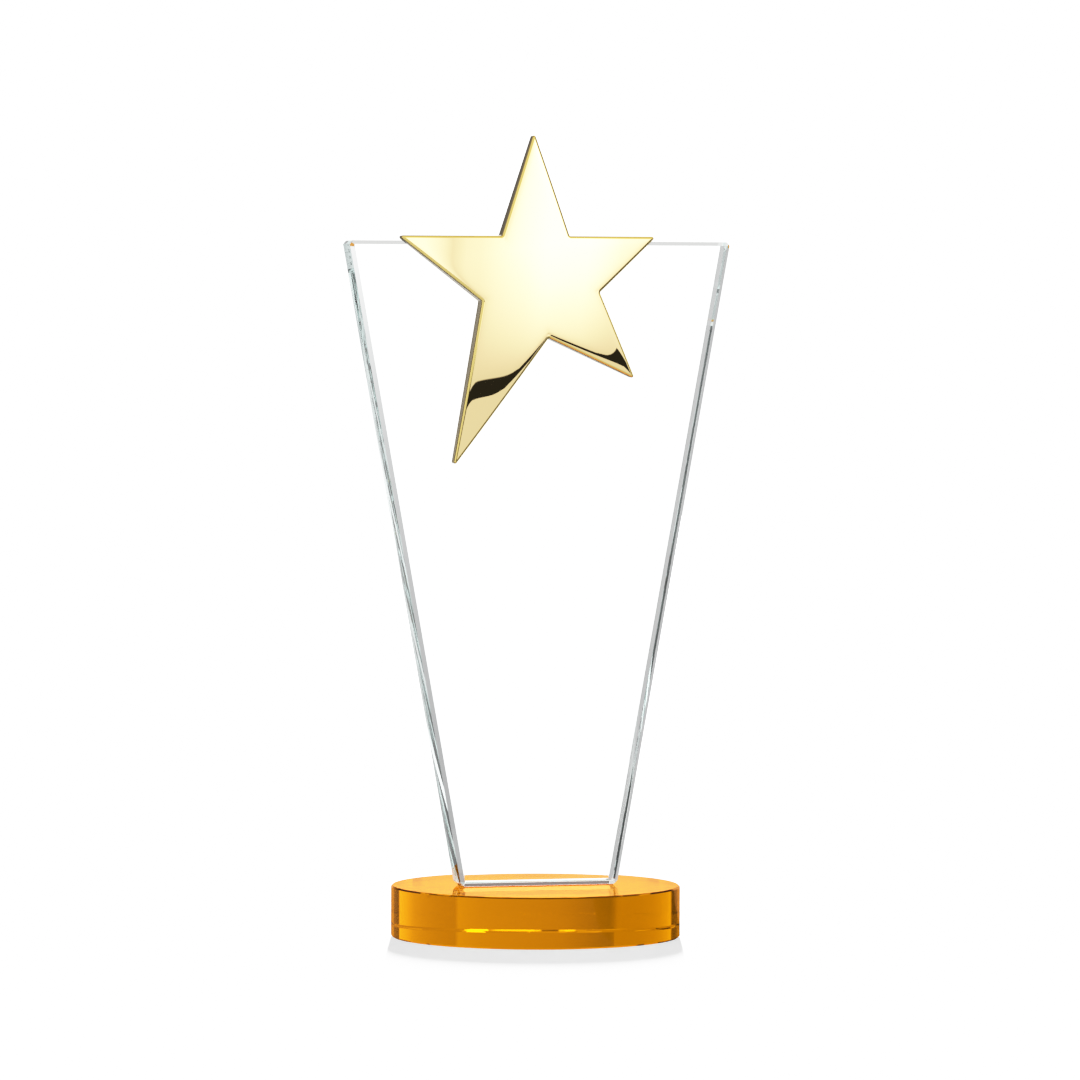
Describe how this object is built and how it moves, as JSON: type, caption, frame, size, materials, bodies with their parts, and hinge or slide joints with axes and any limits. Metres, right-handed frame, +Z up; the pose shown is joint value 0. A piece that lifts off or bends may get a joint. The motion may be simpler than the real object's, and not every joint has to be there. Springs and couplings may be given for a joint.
{
  "type": "star trophy",
  "caption": "Free-standing award: a tapered clear crystal plate on a round amber crystal base, with a domed gold star bonded to its upper front.",
  "frame": {"origin": "centre of the round base's underside, on the surface the trophy stands on", "axes": "+Z up; the front with the star faces -Y; +X is to the right of someone facing the front"},
  "size_m": [0.1216, 0.09, 0.2488],
  "materials": {
    "amber_crystal": "optical crystal tinted amber through its whole thickness, polished all over",
    "clear_crystal": "clear optical crystal, polished faces and bevels",
    "clear_adhesive": "clear cured adhesive",
    "gold_plate": "mirror-polished gold plate over a cast star"
  },
  "bodies": {
    "root": {"base_disc": "amber_crystal", "foot_bond": "clear_adhesive", "crystal_plate": "clear_crystal", "star_pad": "clear_adhesive", "gold_star": "gold_plate"}
  },
  "joints": []
}
